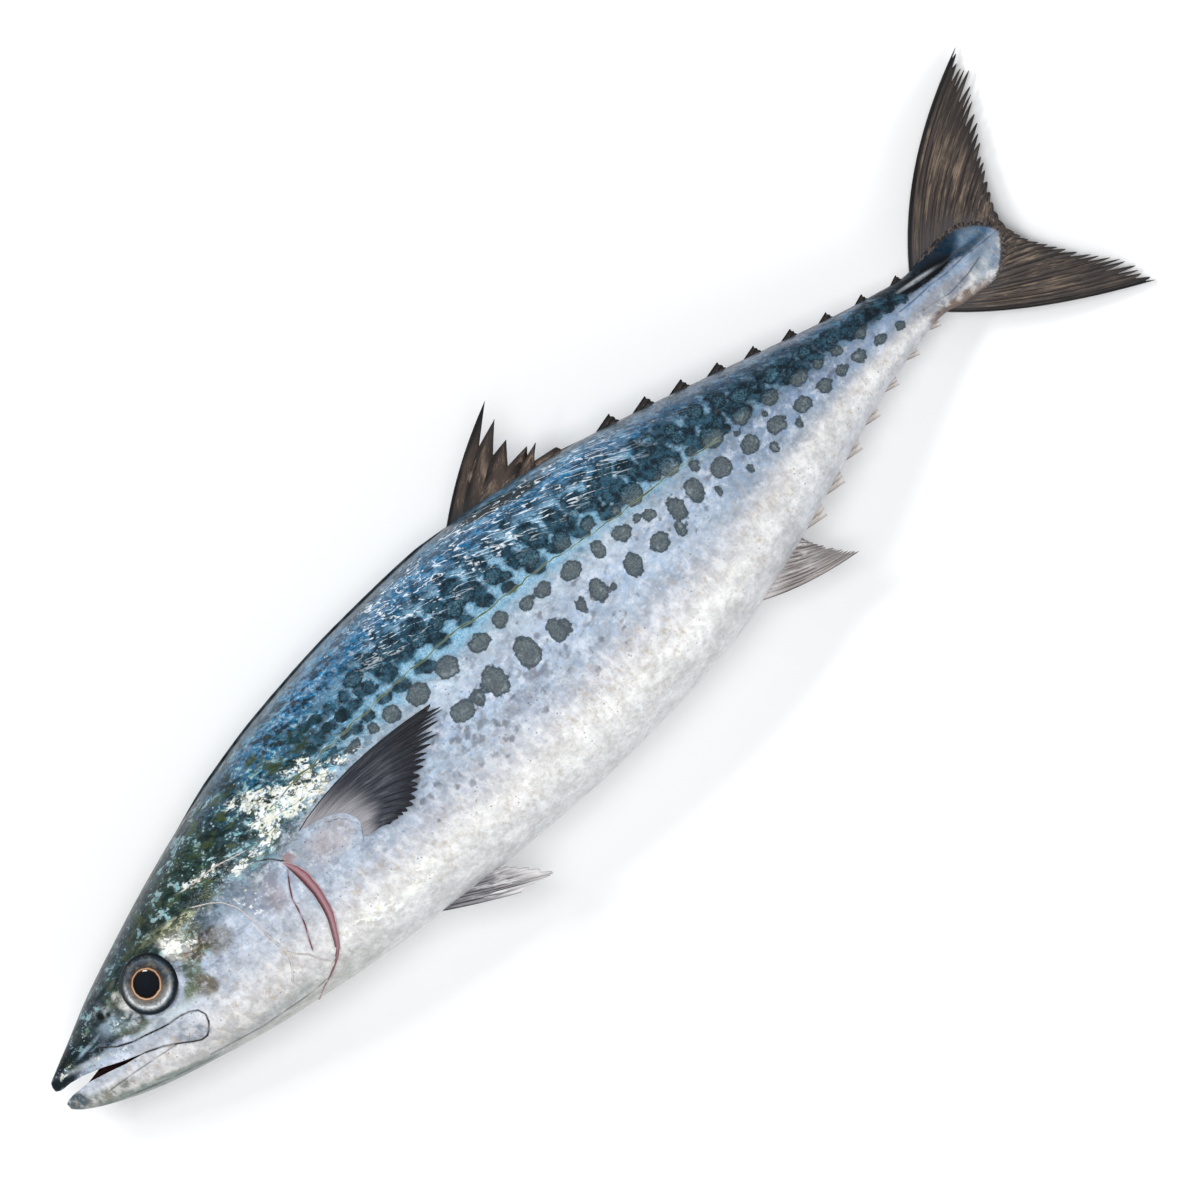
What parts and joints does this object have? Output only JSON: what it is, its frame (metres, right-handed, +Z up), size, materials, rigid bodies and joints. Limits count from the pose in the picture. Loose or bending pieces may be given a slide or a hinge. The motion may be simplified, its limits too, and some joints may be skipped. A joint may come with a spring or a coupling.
{
  "type": "whole raw fish",
  "caption": "Whole raw spotted mackerel with its head, fins and forked tail, lying on its right side.",
  "frame": {"origin": "centre of the bounding box, on the surface the fish lies on", "axes": "+X from head to tail, +Y to the fish's back, +Z up to the shown left side"},
  "size_m": [0.5914, 0.1712, 0.0795],
  "materials": {
    "skin": "wet fish skin, steel blue back, silver flank with dark spots, white belly",
    "fin": "damp fin membrane over fine rays, charcoal brown to translucent white",
    "eye": "wet clear eye over a black pupil, copper ring and silver iris",
    "flesh": "wet pink gill edge and dark red mouth lining"
  },
  "bodies": {
    "root": {"fish": "skin", "eye_left": "eye", "eye_right": "eye"}
  },
  "joints": []
}
